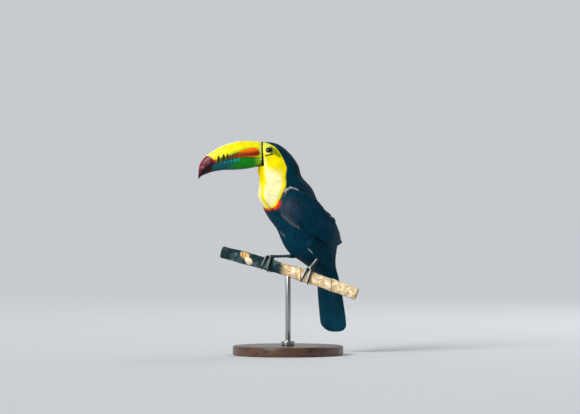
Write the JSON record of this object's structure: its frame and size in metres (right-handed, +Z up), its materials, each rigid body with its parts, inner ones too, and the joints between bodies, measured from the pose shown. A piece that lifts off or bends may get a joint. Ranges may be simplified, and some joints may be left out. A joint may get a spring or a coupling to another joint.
{
  "type": "keel-billed toucan display model",
  "caption": "Life-size still model of a keel-billed toucan gripping a cut length of branch, on a round display stand.",
  "frame": {"origin": "centre of the display stand's flat underside", "axes": "+Z up; the bill points along -X, the bird's breast is turned about 40 degrees from -X towards -Y, and the branch falls towards +X"},
  "size_m": [0.3048, 0.21, 0.407],
  "materials": {
    "base_wood": "satin, dark stained hardwood",
    "rod_steel": "satin",
    "bark": "dry, matt bark, pale tan to grey-green",
    "bill_upper": "satin horn, yellow and green with an orange flash and a maroon tip",
    "bill_lower": "satin horn, green to blue with a maroon tip",
    "eye": "wet gloss",
    "bib_plumage": "soft feathers, yellow bib and face with a black crown",
    "dark_plumage": "satin feathers, black with a blue-green sheen",
    "leg_skin": "scaled, slate blue",
    "claw": "satin horn"
  },
  "bodies": {
    "root": {"stand_base": "base_wood", "stand_collar": "rod_steel", "stand_rod": "rod_steel", "perch": "bark", "bill_upper": "bill_upper", "bill_lower": "bill_lower", "eye_left": "eye", "eye_right": "eye", "head": "bib_plumage", "neck": "bib_plumage", "trunk": "dark_plumage", "wing_left": "dark_plumage", "wing_right": "dark_plumage", "tail": "dark_plumage", "thigh_left": "dark_plumage", "thigh_right": "dark_plumage", "tarsus_left": "leg_skin", "tarsus_right": "leg_skin", "toe_left_inner_front": "leg_skin", "toe_left_outer_front": "leg_skin", "toe_left_inner_back": "leg_skin", "toe_left_outer_back": "leg_skin", "toe_right_inner_front": "leg_skin", "toe_right_outer_front": "leg_skin", "toe_right_inner_back": "leg_skin", "toe_right_outer_back": "leg_skin", "claw_left_inner_front": "claw", "claw_left_outer_front": "claw", "claw_left_inner_back": "claw", "claw_left_outer_back": "claw", "claw_right_inner_front": "claw", "claw_right_outer_front": "claw", "claw_right_inner_back": "claw", "claw_right_outer_back": "claw"}
  },
  "joints": []
}
